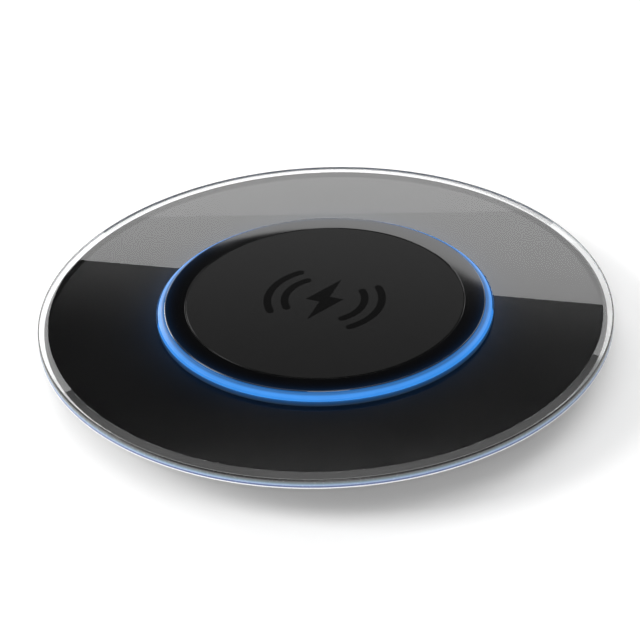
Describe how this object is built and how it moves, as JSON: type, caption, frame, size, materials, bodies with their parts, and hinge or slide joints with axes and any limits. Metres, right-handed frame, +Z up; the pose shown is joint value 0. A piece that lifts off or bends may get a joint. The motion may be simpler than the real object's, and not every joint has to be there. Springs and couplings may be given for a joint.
{
  "type": "wireless charging pad",
  "caption": "Round flat wireless charging pad: clear-rimmed black glass plate, raised round charging cap in a blue light ring, and a small screwed base with rubber feet and a rear USB inlet.",
  "frame": {"origin": "on the surface that the pad stands on, under its centre", "axes": "+Z up out of the charging face; +Y to the rear, where the USB inlet opens; +X to the right for a person at the front"},
  "size_m": [0.1, 0.1, 0.0093],
  "materials": {
    "clear_glass": "clear polished float glass",
    "black_backing": "opaque black film seen through the glass",
    "adhesive": "double-sided adhesive film",
    "light_diffuser": "milky translucent ring lit blue from below",
    "gloss_black": "polished black plastic",
    "soft_black": "fine matte soft-touch black",
    "base_black": "fine moulded texture",
    "foot_rubber": "matte rubber",
    "screw_steel": "zinc-plated steel",
    "board_green": "solder mask over glass-fibre board",
    "led_body": "small surface-mount lamp",
    "inlet_steel": "drawn and plated steel shell",
    "inlet_plastic": "moulded black insulator",
    "chip_black": "moulded package",
    "capacitor_tan": "fired ceramic with tinned ends",
    "crystal_can": "small metal can",
    "ferrite_grey": "sintered ferrite",
    "tray_plastic": "moulded dark grey plastic",
    "copper_wire": "enamelled stranded copper"
  },
  "bodies": {
    "root": {"glass_plate": "clear_glass", "plate_backing": "black_backing", "plate_adhesive": "adhesive", "top_cap": "gloss_black", "top_pad": "soft_black", "light_ring": "light_diffuser", "housing": "base_black", "bottom_cover": "base_black", "foot_1": "foot_rubber", "foot_2": "foot_rubber", "foot_3": "foot_rubber", "foot_4": "foot_rubber", "cover_screw_1": "screw_steel", "cover_screw_2": "screw_steel", "cover_screw_3": "screw_steel", "cover_screw_4": "screw_steel", "circuit_board": "board_green", "controller_chip": "chip_black", "bridge_chip_1": "chip_black", "bridge_chip_2": "chip_black", "resonant_capacitor_1": "capacitor_tan", "resonant_capacitor_2": "capacitor_tan", "resonant_capacitor_3": "capacitor_tan", "resonant_capacitor_4": "capacitor_tan", "power_inductor": "chip_black", "input_capacitor_1": "capacitor_tan", "input_capacitor_2": "capacitor_tan", "crystal": "crystal_can", "thermistor": "chip_black", "led_1": "led_body", "led_2": "led_body", "led_3": "led_body", "led_4": "led_body", "led_5": "led_body", "led_6": "led_body", "led_7": "led_body", "led_8": "led_body", "usb_shell": "inlet_steel", "usb_tongue": "inlet_plastic", "coil_tray": "tray_plastic", "ferrite_disc": "ferrite_grey", "coil_adhesive": "adhesive", "charging_coil": "copper_wire", "coil_lead_inner": "copper_wire", "coil_lead_outer": "copper_wire"}
  },
  "joints": []
}
